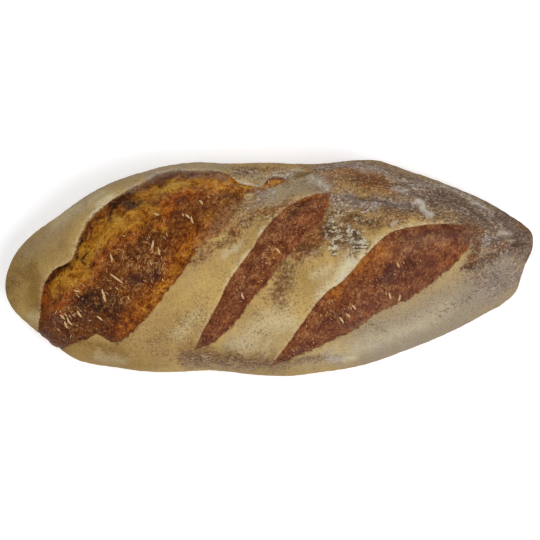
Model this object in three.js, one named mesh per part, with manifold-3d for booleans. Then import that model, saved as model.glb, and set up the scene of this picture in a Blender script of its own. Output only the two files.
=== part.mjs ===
// A semi-wholemeal sourdough batard: one solid loaf with three open slashes across its top.
// Millimetres, +Z up. X runs along the loaf and +Y is its back. It stands on Z = 0, under the
// middle of its outline.
import * as THREE from "three";
import { mergeVertices } from "three/addons/utils/BufferGeometryUtils.js";
import Module from "manifold-3d";

const wasm = await Module();
wasm.setup();

// The whole loaf.
const LENGTH = 300;
const HALF_LENGTH = LENGTH / 2;
const TOP_SQUARENESS = 2.15; // 2 is a true ellipse, more is squarer
const UNDER_SQUARENESS = 2.6;
const SIDE_TURN = 34; // how far down the side a quarter turn past the widest level reaches
const RELIEF_FADE = 12; // relief dies out over this height above the flat base

// The loaf's mesh. Its rings are closer over the top, where the slashes are, than on the sides.
const STATIONS = 72;
const TOP_RINGS = 26;
const SIDE_RINGS = 4;
const TOP_TURN = THREE.MathUtils.degToRad(98);
const LAST_TURN = THREE.MathUtils.degToRad(160); // the lowest side ring where the loaf is off the ground
const TIP_CROWDING = 1.35; // in radians: a quarter turn would crowd the stations most at the tips

// The slashes' meshes and cuts.
const ALONG_STEP = 4.2;
const ACROSS_STEP = 3.4;
const CLEARED_HEIGHT = 14; // a slash is cleared to this height over the crust, then its crumb is put in
const ROOT_DEPTH = 9; // how deep the crumb goes into the loaf
const FULL_WIDTH = 17; // a slash narrower than this is shallower too

// Bran flakes that stick to the crumb in the slashes.
const FLAKE_SEED = 4711;
const FLAKE_LENGTH = [3.2, 4.8];
const FLAKE_TURN = [0.7, 2.2];
const FLAKE_WIDTH = 1.3;
const FLAKE_HEIGHT = 1.3;
const FLAKE_SUNK = 0.55;
const FLAKE_MARGIN = 0.16; // no flake lies nearer to an edge than this share of the slash's width

const CRUST_COLOUR = 0xb08a52;

// A smooth curve through a few [place, value] points, level beyond its ends.
function curve(points) {
  const last = points.length - 1;
  const slopes = points.map((_, i) => {
    const before = points[Math.max(i - 1, 0)];
    const after = points[Math.min(i + 1, last)];
    return (after[1] - before[1]) / (after[0] - before[0]);
  });
  return (x) => {
    if (x <= points[0][0]) return points[0][1];
    if (x >= points[last][0]) return points[last][1];
    const i = points.findIndex((point) => point[0] > x) - 1;
    const span = points[i + 1][0] - points[i][0];
    const t = (x - points[i][0]) / span;
    const turn = slopes[i] * t * (1 - t) ** 2 - slopes[i + 1] * t * t * (1 - t);
    return points[i][1] * (1 + 2 * t) * (1 - t) ** 2 + points[i + 1][1] * t * t * (3 - 2 * t) + span * turn;
  };
}

const smooth = (t) => {
  const held = THREE.MathUtils.clamp(t, 0, 1);
  return held * held * (3 - 2 * held);
};

const bell = (t) => Math.exp(-t * t);

// The loaf's outline from above, as its half widths before the rounding of the tips.
const backWidth = curve([
  [-150, 58], [-122, 59.6], [-95, 65.6], [-65, 63.1], [-35, 62.8], [-10, 59.8], [25, 57.4], [62, 60.4],
  [80, 56.8], [100, 54], [125, 43], [150, 28.5],
]);
const frontWidth = curve([
  [-150, 52], [-128, 59], [-112, 66.3], [-85, 62], [-45, 57], [-12, 59.5], [12, 62.3], [54, 62], [87, 59],
  [118, 62.5], [132, 71], [139, 73], [144, 50], [150, 46],
]);
const middleLine = curve([[-150, 0], [60, 0], [100, 0.4], [150, 4.6]]);

// Heights: the widest level, the crest above it, and the underside below it, cut off by the flat base.
const widestLevel = curve([[-150, 25], [-90, 30], [0, 31], [90, 30], [150, 24]]);
const crestRise = curve([[-150, 30], [-115, 40], [-65, 45], [-10, 44], [60, 45.5], [110, 41], [150, 27]]);
const underDrop = curve([[-150, 40], [-110, 46], [-60, 45], [60, 45], [110, 46], [150, 38]]);

const tipRounding = (x) => Math.sqrt(Math.max(0, 1 - (x / HALF_LENGTH) ** 2));

// The bare loaf at x, without relief. The angle is 0 at the crest, a quarter turn at the widest
// level and half a turn underneath, positive at the back.
function bareLoaf(x, angle) {
  const [s, c] = [Math.sin(angle), Math.cos(angle)];
  const power = 2 / (c >= 0 ? TOP_SQUARENESS : UNDER_SQUARENESS);
  const width = tipRounding(x) * (s >= 0 ? backWidth(x) : frontWidth(x));
  const height = tipRounding(x) * (c >= 0 ? crestRise(x) : -underDrop(x));
  return new THREE.Vector3(
    x,
    middleLine(x) + width * Math.sign(s) * Math.abs(s) ** power,
    Math.max(0, widestLevel(x) + height * Math.abs(c) ** power),
  );
}

// Across is a place's y over the top. Past the widest level it goes on down the side, unrolled.
function acrossOf(x, angle) {
  const turned = Math.abs(angle);
  const side = Math.sign(angle) || 1;
  if (turned <= Math.PI / 2) return bareLoaf(x, angle).y;
  return bareLoaf(x, (side * Math.PI) / 2).y + side * (turned - Math.PI / 2) * SIDE_TURN;
}

function angleOf(x, across) {
  const side = Math.sign(across - middleLine(x)) || 1;
  const width = tipRounding(x) * (side > 0 ? backWidth(x) : frontWidth(x));
  const reach = Math.abs(across - middleLine(x)) / width;
  if (reach <= 1) return side * Math.asin(reach ** (TOP_SQUARENESS / 2));
  return side * (Math.PI / 2 + ((reach - 1) * width) / SIDE_TURN);
}

// The outward normal of the bare loaf, from places a little apart.
function normalAt(x, angle) {
  const [dx, turn] = [0.5, 0.01];
  const inside = HALF_LENGTH - 2 * dx;
  const held = THREE.MathUtils.clamp(x, -inside, inside);
  const along = bareLoaf(held + dx, angle).sub(bareLoaf(held - dx, angle));
  const around = bareLoaf(held, angle + turn).sub(bareLoaf(held, angle - turn));
  return along.cross(around).normalize();
}

// A slash is laid out in its own frame: along runs from one end towards the other, and over runs
// from its torn edge, the lower right one, to its ear, the upper left one. Placed flakes are given
// by along, over, turn in degrees and length.
function slash(from, to, ear, torn, sizes) {
  const axis = new THREE.Vector2(to[0] - from[0], to[1] - from[1]).normalize();
  const [start, end] = [ear[0][0], ear[ear.length - 1][0]];
  const [earEdge, tornEdge] = [curve(ear), curve(torn)];
  return {
    ...sizes,
    start,
    end,
    earEdge,
    tornEdge,
    width: (along) => earEdge(along) - tornEdge(along),
    frameOf: (x, across) => [
      (x - from[0]) * axis.x + (across - from[1]) * axis.y,
      (across - from[1]) * axis.x - (x - from[0]) * axis.y,
    ],
    placeOf: (along, over) => [
      from[0] + along * axis.x - over * axis.y,
      from[1] + along * axis.y + over * axis.x,
    ],
  };
}

const slashes = [
  slash(
    [-123.7, -37.1],
    [-13.8, 45],
    [
      [-9, 9], [-4, 13], [0, 15.8], [8.5, 22], [20, 30.2], [30, 32.2], [41, 29.4], [52, 34.8], [62, 38.2],
      [73, 39], [95, 36.8], [113, 31.8], [127, 21], [134, 14.3], [136.6, 9.6], [138, 1.6], [141, -3],
      [146, -9.4], [150, -8], [154, -8.2], [157, -11], [160, -15.6],
    ],
    [
      [-9, 6.5], [-4, 1.5], [3.5, -2.5], [15, -7.5], [24, -11], [28, -20.3], [43, -22.6], [60, -20.8],
      [83, -16.9], [98, -13.2], [115, -13.4], [130, -9.5], [138, -7], [144, -10.6], [150, -13.8],
      [155, -15.2], [160, -16.8],
    ],
    {
      opening: 55, closing: 110, earLift: 3.6, earSpread: 13, lipLift: 0.9, valley: 4.6, valleyWidth: 10,
      bulge: 3.2, lean: 0.35,
      placedFlakes: [
        [53.8, 4.2, 102, 10], [25.3, 4.6, 75, 5], [15.6, 5.4, 61, 5], [18.6, 5.4, 73, 6.2],
        [43.8, 3.2, 69, 5], [42.2, 1, 60, 4.6], [59.2, 14.5, 69, 4.4], [79.8, 5, 34, 5],
        [80.3, -0.6, 62, 4.6], [33, 14.5, 122, 3.8],
      ],
      drawnFlakes: 6,
    },
  ),
  slash(
    [-45.4, -44.2],
    [41.2, 33.6],
    [
      [0, 0.4], [11, 4.2], [29, 8.4], [40, 11.8], [63, 14.9], [75, 17.2], [90, 16.2], [99, 14], [106, 10.6],
      [115, 4.8],
    ],
    [
      [0, -0.4], [4, -2.6], [17, -5.8], [31, -6.1], [43, -4.2], [53, -4.7], [66, -2.6], [98, -2.8],
      [107, 0.2], [115, 4],
    ],
    {
      opening: 14, closing: 14, earLift: 1.9, earSpread: 8, lipLift: 0.9, valley: 2.6, valleyWidth: 5,
      bulge: 1.9, lean: 0.3,
      placedFlakes: [],
      drawnFlakes: 2,
    },
  ),
  slash(
    [-4.7, -57.2],
    [112, 7.8],
    [
      [0, 0.4], [10, 4.1], [21, 8], [33, 12.4], [48, 17.1], [57, 17.2], [66, 18.6], [76, 21.8], [94, 24.6],
      [103, 22.6], [113, 18.4], [125, 11.6], [131, 8], [135.5, 4.4],
    ],
    [
      [0, -0.4], [14, -2.7], [27, -5.2], [40, -6.3], [53, -8.5], [65, -8], [76, -9.8], [92, -11.5],
      [109, -10.2], [116, -9.6], [124, -7.3], [129.5, -5.8], [132.5, -3], [135.5, 2.2],
    ],
    {
      opening: 14, closing: 14, earLift: 2.1, earSpread: 9, lipLift: 1, valley: 2.8, valleyWidth: 6,
      bulge: 2.6, lean: 0.3,
      placedFlakes: [[80, -7, 48, 5], [76.5, -3, 74, 4.2]],
      drawnFlakes: 4,
    },
  ),
];

// Slow swells all over the crust, from a few crossing waves.
function swell(at) {
  return (
    0.8 * Math.sin(at.x / 21 + 0.7) * Math.cos(at.y / 17 - at.z / 29) +
    0.55 * Math.sin(at.x / 10.5 - at.y / 14 + at.z / 12 + 1.9) +
    0.35 * Math.sin(at.y / 7.5 + at.x / 26 - at.z / 9)
  );
}

// The crust stands up along each slash: high at the ear and a little at the torn edge.
function edgeLift(cut, x, across) {
  const [along, over] = cut.frameOf(x, across);
  const ends = smooth((along - cut.start) / cut.opening) * smooth((cut.end - along) / cut.closing);
  const share = THREE.MathUtils.clamp((over - cut.tornEdge(along)) / cut.width(along), 0, 1);
  const pastEar = Math.max(0, over - cut.earEdge(along));
  const pastTorn = Math.max(0, cut.tornEdge(along) - over);
  const ear = cut.earLift * share * bell(pastEar / cut.earSpread);
  const lip = cut.lipLift * (1 - share) * bell(pastTorn / (cut.earSpread / 2));
  return ends * (ear + lip);
}

// The loaf's crust at a place, with its relief, moved out by a height.
function crustAt(x, angle, height = 0) {
  const at = bareLoaf(x, angle);
  const across = acrossOf(x, angle);
  const relief = slashes.reduce((sum, cut) => sum + edgeLift(cut, x, across), swell(at));
  const fade = smooth(at.z / RELIEF_FADE) * smooth(tipRounding(x) / 0.3);
  return at.addScaledVector(normalAt(x, angle), relief * fade + height);
}

// The height of the torn crumb in a slash. The share goes from 0 at the torn edge to 1 at the ear:
// the crumb swells between them and is deepest under the ear.
function crumbHeight(cut, along, share) {
  const width = cut.width(along);
  const size = Math.min(1, width / FULL_WIDTH);
  const ends = smooth((along - cut.start) / cut.opening) * smooth((cut.end - along) / cut.closing);
  const open = THREE.MathUtils.lerp(0.2, 1, ends);
  const valley = open * cut.valley * bell(((1 - share) * width) / cut.valleyWidth);
  const bulge = open * cut.bulge * Math.sin(Math.PI * Math.min(1, share / 0.85)) ** 0.8;
  const tear = 1.3 * bell((share * width) / 2.5);
  const crags = 0.8 * Math.sin(along / 3.1 + 4 * share) * Math.sin(share * 9 + along / 5.7);
  const inside = smooth(share * 4) * smooth((1 - share) * 4);
  return size * (bulge - valley - tear + crags * inside);
}

// A point in a slash at a height over the crust. The ear's side leans out as it goes deeper.
function slashPoint(cut, along, share, height) {
  const lean = cut.lean * Math.min(1, cut.width(along) / FULL_WIDTH);
  const ear = cut.earEdge(along) - lean * height;
  const [x, across] = cut.placeOf(along, THREE.MathUtils.lerp(cut.tornEdge(along), ear, share));
  return crustAt(x, angleOf(x, across), height);
}

// A closed solid through rings of points, each end closed by a fan about a point.
function loft(rings, first, last) {
  const around = rings[0].length;
  const points = [first, ...rings.flat(), last];
  const triangles = [];
  const at = (ring, i) => 1 + ring * around + (i % around);
  for (let i = 0; i < around; i++) {
    triangles.push(0, at(0, i), at(0, i + 1));
    for (let ring = 0; ring + 1 < rings.length; ring++) {
      const [a, b] = [at(ring, i), at(ring, i + 1)];
      const [c, d] = [at(ring + 1, i), at(ring + 1, i + 1)];
      const shorter = points[a].distanceTo(points[d]) < points[b].distanceTo(points[c]);
      triangles.push(...(shorter ? [a, c, d, a, d, b] : [a, c, b, b, c, d]));
    }
    triangles.push(points.length - 1, at(rings.length - 1, i + 1), at(rings.length - 1, i));
  }
  return solidOf(new THREE.BufferGeometry().setFromPoints(points).setIndex(triangles));
}

const middleOf = (ring) =>
  ring.reduce((sum, point) => sum.add(point), new THREE.Vector3()).divideScalar(ring.length);

function solidOf(geometry) {
  geometry.deleteAttribute("normal");
  geometry.deleteAttribute("uv");
  const merged = mergeVertices(geometry, 1e-4);
  return new wasm.Manifold(
    new wasm.Mesh({
      numProp: 3,
      vertProperties: merged.attributes.position.array,
      triVerts: new Uint32Array(merged.index.array),
    }),
  );
}

// The angle at which a section meets the ground, or the last turn where it stays off the ground.
function groundTurn(x) {
  const level = Math.min(1, widestLevel(x) / (tipRounding(x) * underDrop(x)));
  return Math.min(LAST_TURN, Math.PI - Math.acos(level ** (UNDER_SQUARENESS / 2)));
}

// The angles of one ring: over the top, down the back, the middle of the base, up the front.
function ringAngles(x) {
  const side = [];
  for (let i = 1; i <= SIDE_RINGS; i++) {
    side.push(THREE.MathUtils.lerp(TOP_TURN, groundTurn(x), i / SIDE_RINGS));
  }
  const top = [];
  for (let i = 0; i <= TOP_RINGS; i++) {
    top.push(TOP_TURN * ((2 * i) / TOP_RINGS - 1));
  }
  return [...top, ...side, Math.PI, ...side.map((angle) => -angle).reverse()];
}

function bareSolid() {
  const rings = [];
  for (let i = 1; i < STATIONS; i++) {
    const x = (HALF_LENGTH * Math.sin(TIP_CROWDING * ((2 * i) / STATIONS - 1))) / Math.sin(TIP_CROWDING);
    rings.push(ringAngles(x).map((angle) => crustAt(x, angle)));
  }
  return loft(rings, bareLoaf(-HALF_LENGTH, 0), bareLoaf(HALF_LENGTH, 0));
}

// The solid of one slash between the surface of its crumb and a flat height over or under it.
function slashSolid(cut, flatHeight) {
  const steps = Math.round((cut.end - cut.start) / ALONG_STEP);
  const widest = Math.max(...Array.from({ length: steps }, (_, i) => cut.width(cut.start + i * ALONG_STEP)));
  const shares = Math.round(widest / ACROSS_STEP);
  const rings = [];
  for (let i = 0; i <= steps; i++) {
    const along = THREE.MathUtils.lerp(cut.start, cut.end, i / steps);
    const ring = [];
    for (let j = 0; j <= shares; j++) {
      ring.push(slashPoint(cut, along, j / shares, crumbHeight(cut, along, j / shares)));
    }
    ring.push(slashPoint(cut, along, 1, flatHeight), slashPoint(cut, along, 0, flatHeight));
    rings.push(flatHeight > 0 ? ring.reverse() : ring);
  }
  return loft(rings, middleOf(rings[0]), middleOf(rings[steps]));
}

function openSlash(loaf, cut) {
  return loaf.subtract(slashSolid(cut, CLEARED_HEIGHT)).add(slashSolid(cut, -ROOT_DEPTH));
}

// Creases in the skin, as [x, across] points from end to end: the tear past the wide slash, the
// tail of the middle one, two folds of the back skin near the right tip, and the nick in that tip.
const creases = [
  { points: [[10, 46], [20.9, 48.2], [27.7, 49.5], [33.4, 50.3]], width: 3, depth: 0.9 },
  { points: [[36.5, 35.6], [48, 33], [59.5, 31.2], [71, 28.7]], width: 2.6, depth: 1.2 },
  { points: [[92.5, 35.3], [103, 28.6], [111.3, 24.4], [119.3, 18.3], [130, 8.1]], width: 3.2, depth: 1.4 },
  { points: [[101.5, 36.4], [110.3, 29.3], [117.3, 24.3], [122.6, 20]], width: 2.4, depth: 0.9 },
  { points: [[134, 0.2], [141, 0.3], [146.5, 1.6]], width: 2, depth: 1.8 },
];

// The V of a crease, to be taken out of the crust. It dies away towards both of its ends.
function creaseSolid({ points, width, depth }) {
  const path = new THREE.CatmullRomCurve3(points.map(([x, across]) => new THREE.Vector3(x, across, 0)));
  const steps = Math.round(path.getLength() / ALONG_STEP);
  const rings = [];
  for (let i = 0; i <= steps; i++) {
    const size = 0.15 + 0.85 * Math.sin((Math.PI * i) / steps);
    const at = path.getPointAt(i / steps);
    const ahead = path.getTangentAt(i / steps);
    const point = (aside, height) => {
      const [x, across] = [at.x - ahead.y * aside, at.y + ahead.x * aside];
      return crustAt(x, angleOf(x, across), height);
    };
    const rim = (width / 2) * size;
    rings.push([point(-rim * 1.3, 0.6), point(rim * 1.3, 0.6), point(0, -depth * size)]);
  }
  return loft(rings, middleOf(rings[0]), middleOf(rings[steps]));
}

// A repeatable draw of numbers from 0 to 1.
function drawer(seed) {
  let state = seed;
  return () => {
    state = (state * 16807) % 2147483647;
    return state / 2147483647;
  };
}

// One bran flake lying on the crumb: a thin pointed sliver along the surface.
function flakeSolid(cut, along, share, turn, length) {
  const on = (a, s) => slashPoint(cut, a, s, crumbHeight(cut, a, s));
  const at = on(along, share);
  const ahead = on(along + 1, share).sub(at);
  const over = on(along, share + 0.05).sub(at);
  const up = ahead.clone().cross(over).normalize();
  const axis = ahead.normalize().applyAxisAngle(up, turn);
  const aside = up.clone().cross(axis);
  at.addScaledVector(up, FLAKE_HEIGHT / 2 - FLAKE_SUNK);
  const flake = new THREE.SphereGeometry(0.5, 6, 3).scale(FLAKE_WIDTH, length, FLAKE_HEIGHT);
  const pose = new THREE.Matrix4().makeBasis(aside.negate(), axis, up).setPosition(at);
  return solidOf(flake.applyMatrix4(pose));
}

function flakesOf(cut, draw) {
  const flakes = cut.placedFlakes.map(([along, over, degrees, length]) => {
    const share = (over - cut.tornEdge(along)) / cut.width(along);
    return flakeSolid(cut, along, share, THREE.MathUtils.degToRad(degrees), length);
  });
  for (let i = 0; i < cut.drawnFlakes; i++) {
    const along = THREE.MathUtils.lerp(cut.start + 22, cut.end - 30, draw());
    const share = THREE.MathUtils.lerp(FLAKE_MARGIN, 1 - 2.2 * FLAKE_MARGIN, draw());
    const turn = THREE.MathUtils.lerp(...FLAKE_TURN, draw());
    flakes.push(flakeSolid(cut, along, share, turn, THREE.MathUtils.lerp(...FLAKE_LENGTH, draw())));
  }
  return flakes;
}

function buildLoaf() {
  let loaf = slashes.reduce(openSlash, bareSolid());
  for (const crease of creases) {
    loaf = loaf.subtract(creaseSolid(crease));
  }
  const draw = drawer(FLAKE_SEED);
  for (const flake of slashes.flatMap((cut) => flakesOf(cut, draw))) {
    loaf = loaf.add(flake);
  }
  return loaf;
}

function meshOf(solid, name, material) {
  const { numProp, vertProperties, triVerts } = solid.getMesh();
  const geometry = new THREE.BufferGeometry();
  geometry.setAttribute("position", new THREE.BufferAttribute(vertProperties, numProp));
  geometry.setIndex(new THREE.BufferAttribute(triVerts, 1));
  geometry.computeVertexNormals();
  const mesh = new THREE.Mesh(geometry, material);
  mesh.name = name;
  return mesh;
}

const crust = new THREE.MeshStandardMaterial({ color: CRUST_COLOUR, roughness: 0.85, metalness: 0 });

const loaf = meshOf(buildLoaf(), "loaf", crust);

const loafGroup = new THREE.Group();
loafGroup.add(loaf);

export default loafGroup;
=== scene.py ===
"""A semi-wholemeal sourdough batard: a floured crust with three open slashes and bran on the torn crumb.

Sizes in the modelling sections are in millimetres, and the last step before a mesh turns them into metres.
X runs along the loaf, +Y is its back and +Z is up, as in the frame.
"""

import functools
import itertools
import math

import bpy
import numpy as np
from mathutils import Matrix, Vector


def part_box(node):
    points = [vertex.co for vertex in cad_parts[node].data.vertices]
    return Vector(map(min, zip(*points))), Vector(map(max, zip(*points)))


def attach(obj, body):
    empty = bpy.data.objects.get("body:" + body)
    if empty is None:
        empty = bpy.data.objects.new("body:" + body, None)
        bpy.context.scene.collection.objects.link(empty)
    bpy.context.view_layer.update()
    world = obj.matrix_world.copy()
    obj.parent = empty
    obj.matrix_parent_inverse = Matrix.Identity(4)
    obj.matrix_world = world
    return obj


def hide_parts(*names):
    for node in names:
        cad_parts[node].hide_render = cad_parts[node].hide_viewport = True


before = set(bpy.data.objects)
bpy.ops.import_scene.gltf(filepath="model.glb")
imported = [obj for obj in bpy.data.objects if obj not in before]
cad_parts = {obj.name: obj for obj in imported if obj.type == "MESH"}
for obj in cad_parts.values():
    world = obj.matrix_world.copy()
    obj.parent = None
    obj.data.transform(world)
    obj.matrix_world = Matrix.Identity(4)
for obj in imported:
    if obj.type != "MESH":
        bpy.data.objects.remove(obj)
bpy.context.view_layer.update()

MM = 0.001
LOAF_LOW, LOAF_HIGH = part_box("loaf")

# The whole loaf, as the frame has it
HALF_LENGTH = (LOAF_HIGH.x - LOAF_LOW.x) / 2 / MM
TOP_SQUARENESS = 2.15
UNDER_SQUARENESS = 2.6
SIDE_TURN = 34.0
RELIEF_FADE = 12.0

# The fine mesh
STATIONS = 350
TOP_RINGS = 208
SIDE_RINGS = 20
BASE_RINGS = 12
TOP_TURN = math.radians(98)
LAST_TURN = math.radians(160)
TIP_CROWDING = 1.35

# The edges of the slashes
EAR_WALL = 1.0
TORN_WALL = 1.5
FULL_WIDTH = 17.0

# Bran
FLAKE_SEED = 4711
FLAKE_LENGTH = (3.2, 4.8)
FLAKE_TURN = (0.7, 2.2)
FLAKE_WIDTH = 1.3
FLAKE_HEIGHT = 1.3
FLAKE_MARGIN = 0.16  # drawn large flakes keep this share of a slash's width from its torn edge
EAR_MARGIN = 2.2 * FLAKE_MARGIN  # and this from its ear
FLAKE_ENDS = (22, 30)  # drawn large flakes keep this far from a slash's two ends
LARGE_FLAKE_SHADE = 0.3
SHADE_SPREAD = 91.7  # spreads the small flakes' shades over their whole range
CLUSTER_SHARE = 0.6  # the share of the small flakes that lies near a cluster
CLUSTER_SPREAD = 5
PROBE = 0.8  # how far apart places on the crumb are taken to find its slope

# Noise
NOISE_SEED = 29
OCTAVE_SCALE = 2.03  # how much finer each octave is than the one before
OCTAVE_SHIFT = 17.3

# The torn fibres of the crumb run at this angle to the loaf
FIBRE_TURN = math.radians(62)

# Millimetres round the loaf for one radian, for the streaks that follow the skin's stretch
FLOW_AROUND = 45.0


# Curves and noise


def curve(points):
    """A smooth curve through a few (place, value) points, level beyond its ends."""
    places, values = np.array(points, float).T
    last = len(places) - 1
    before = np.maximum(np.arange(last + 1) - 1, 0)
    after = np.minimum(np.arange(last + 1) + 1, last)
    slopes = (values[after] - values[before]) / (places[after] - places[before])

    def value(x):
        x = np.clip(x, places[0], places[-1])
        i = np.clip(np.searchsorted(places, x, side="right") - 1, 0, last - 1)
        span = places[i + 1] - places[i]
        t = (x - places[i]) / span
        turn = slopes[i] * t * (1 - t) ** 2 - slopes[i + 1] * t * t * (1 - t)
        level = values[i] * (1 + 2 * t) * (1 - t) ** 2 + values[i + 1] * t * t * (3 - 2 * t)
        return level + span * turn

    return value


def smooth(t):
    held = np.clip(t, 0, 1)
    return held * held * (3 - 2 * held)


def bell(t):
    return np.exp(-t * t)


def lerp(a, b, t):
    return a + (b - a) * t


def make_noise(seed):
    """Gradient noise of about -1 to 1, as a function of rows of places."""
    draw = np.random.default_rng(seed)
    table = draw.permutation(256)
    gradients = draw.normal(size=(256, 3))
    gradients *= 1.6 / np.linalg.norm(gradients, axis=1, keepdims=True)

    def noise(places):
        cell = np.floor(places).astype(int)
        part = places - cell
        fade = part**3 * (part * (part * 6 - 15) + 10)
        total = np.zeros(len(places))
        for corner in itertools.product((0, 1), repeat=3):
            at = (cell + corner) & 255
            picked = table[(table[(table[at[:, 0]] + at[:, 1]) & 255] + at[:, 2]) & 255]
            weight = np.prod(np.where(corner, fade, 1 - fade), axis=1)
            total += weight * np.sum(gradients[picked] * (part - corner), axis=1)
        return total

    return noise


noise = make_noise(NOISE_SEED)


def cloud(places, size, octaves=3, gain=0.5, shift=0.0):
    """Noise of several sizes, the largest about size across. Size may be one number or one for each axis."""
    scaled = places / np.asarray(size, float) + shift
    total, weight = 0.0, 1.0
    for _ in range(octaves):
        total = total + weight * noise(scaled)
        scaled = scaled * OCTAVE_SCALE + OCTAVE_SHIFT
        weight *= gain
    return total


def ridges(places, size, octaves=3, gain=0.5, shift=0.0):
    """Like cloud, with sharp crests: 0 in the hollows and 1 on the crests."""
    scaled = places / np.asarray(size, float) + shift
    total, weight, sum_of_weights = 0.0, 1.0, 0.0
    for _ in range(octaves):
        total = total + weight * (1 - np.clip(np.abs(noise(scaled)) * 1.6, 0, 1))
        sum_of_weights += weight
        scaled = scaled * OCTAVE_SCALE + OCTAVE_SHIFT
        weight *= gain
    return total / sum_of_weights


def stack(*columns):
    return np.stack(np.broadcast_arrays(*columns), axis=-1)


# The bare loaf

back_width = curve(
    [(-150, 58), (-122, 59.6), (-95, 65.6), (-65, 63.1), (-35, 62.8), (-10, 59.8), (25, 57.4), (62, 60.4)]
    + [(80, 56.8), (100, 54), (125, 43), (150, 28.5)]
)
front_width = curve(
    [(-150, 52), (-128, 59), (-112, 66.3), (-85, 62), (-45, 57), (-12, 59.5), (12, 62.3), (54, 62)]
    + [(87, 59), (118, 62.5), (132, 71), (139, 73), (144, 50), (150, 46)]
)
middle_line = curve([(-150, 0), (60, 0), (100, 0.4), (150, 4.6)])
widest_level = curve([(-150, 25), (-90, 30), (0, 31), (90, 30), (150, 24)])
crest_rise = curve([(-150, 30), (-115, 40), (-65, 45), (-10, 44), (60, 45.5), (110, 41), (150, 27)])
under_drop = curve([(-150, 40), (-110, 46), (-60, 45), (60, 45), (110, 46), (150, 38)])


def tip_rounding(x):
    return np.sqrt(np.maximum(0, 1 - (x / HALF_LENGTH) ** 2))


def half_width(x, side):
    return tip_rounding(x) * np.where(side >= 0, back_width(x), front_width(x))


def bare_loaf(x, angle):
    """Places on the loaf without relief. The angle is 0 at the crest and positive at the back."""
    s, c = np.sin(angle), np.cos(angle)
    power = np.where(c >= 0, 2 / TOP_SQUARENESS, 2 / UNDER_SQUARENESS)
    height = tip_rounding(x) * np.where(c >= 0, crest_rise(x), -under_drop(x))
    y = middle_line(x) + half_width(x, s) * np.sign(s) * np.abs(s) ** power
    return stack(x, y, np.maximum(0, widest_level(x) + height * np.abs(c) ** power))


def across_of(x, angle):
    """A place's y over the top, going on down the side past the widest level, unrolled."""
    side = np.where(angle >= 0, 1, -1)
    turned = np.abs(angle)
    over_top = bare_loaf(x, angle)[..., 1]
    down_side = middle_line(x) + side * (half_width(x, side) + (turned - math.pi / 2) * SIDE_TURN)
    return np.where(turned <= math.pi / 2, over_top, down_side)


def angle_of(x, across):
    side = np.where(across >= middle_line(x), 1, -1)
    width = np.maximum(half_width(x, side), 1e-6)
    reach = np.abs(across - middle_line(x)) / width
    over_top = np.arcsin(np.clip(reach, 0, 1) ** (TOP_SQUARENESS / 2))
    down_side = math.pi / 2 + (reach - 1) * width / SIDE_TURN
    return side * np.where(reach <= 1, over_top, down_side)


def normal_at(x, angle):
    """The bare loaf's outward normals, from places a little apart."""
    dx, turn = 0.5, 0.01
    held = np.clip(x, 2 * dx - HALF_LENGTH, HALF_LENGTH - 2 * dx)
    along = bare_loaf(held + dx, angle) - bare_loaf(held - dx, angle)
    around = bare_loaf(held, angle + turn) - bare_loaf(held, angle - turn)
    normal = np.cross(along, around)
    return normal / np.maximum(np.linalg.norm(normal, axis=-1, keepdims=True), 1e-9)


def ground_turn(x):
    """The angle at which a section meets the ground, or the last turn where it stays off the ground."""
    level = np.minimum(1, widest_level(x) / np.maximum(tip_rounding(x) * under_drop(x), 1e-6))
    return np.minimum(LAST_TURN, math.pi - np.arccos(level ** (UNDER_SQUARENESS / 2)))


# The slashes


class Slash:
    """One slash in its own frame: along from end to end, over from its torn edge to its ear."""

    def __init__(self, start_at, end_at, ear, torn, **sizes):
        run, rise = end_at[0] - start_at[0], end_at[1] - start_at[1]
        self.start_at = start_at
        self.axis = (run / math.hypot(run, rise), rise / math.hypot(run, rise))
        self.ear_edge, self.torn_edge = curve(ear), curve(torn)
        self.start, self.end = ear[0][0], ear[-1][0]
        self.__dict__.update(sizes)

    def frame_of(self, x, across):
        east, north = x - self.start_at[0], across - self.start_at[1]
        return east * self.axis[0] + north * self.axis[1], north * self.axis[0] - east * self.axis[1]

    def place_of(self, along, over):
        x = self.start_at[0] + along * self.axis[0] - over * self.axis[1]
        return x, self.start_at[1] + along * self.axis[1] + over * self.axis[0]

    def width(self, along):
        return np.maximum(self.ear_edge(along) - self.torn_edge(along), 0.3)


# The largest bran flakes: along, over, turn in degrees and length
WIDE_FLAKES = (
    (53.8, 4.2, 102, 10), (25.3, 4.6, 75, 5), (15.6, 5.4, 61, 5), (18.6, 5.4, 73, 6.2), (43.8, 3.2, 69, 5),
    (42.2, 1, 60, 4.6), (59.2, 14.5, 69, 4.4), (79.8, 5, 34, 5), (80.3, -0.6, 62, 4.6), (33, 14.5, 122, 3.8),
)
RIGHT_FLAKES = ((80, -7, 48, 5.0), (76.5, -3, 74, 4.2))

WIDE = Slash(
    (-123.7, -37.1),
    (-13.8, 45),
    [(-9, 9), (-4, 13), (0, 15.8), (8.5, 22), (20, 30.2), (30, 32.2), (41, 29.4), (52, 34.8), (62, 38.2)]
    + [(73, 39), (95, 36.8), (113, 31.8), (127, 21), (134, 14.3), (136.6, 9.6), (138, 1.6), (141, -3)]
    + [(146, -9.4), (150, -8), (154, -8.2), (157, -11), (160, -15.6)],
    [(-9, 6.5), (-4, 1.5), (3.5, -2.5), (15, -7.5), (24, -11), (28, -20.3), (43, -22.6), (60, -20.8)]
    + [(83, -16.9), (98, -13.2), (115, -13.4), (130, -9.5), (138, -7), (144, -10.6), (150, -13.8)]
    + [(155, -15.2), (160, -16.8)],
    opening=55, closing=110, ear_lift=3.6, ear_spread=13, lip_lift=0.9, valley=4.6, valley_width=10,
    bulge=3.2, lean=0.35, placed=WIDE_FLAKES, drawn=6,
)
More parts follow.
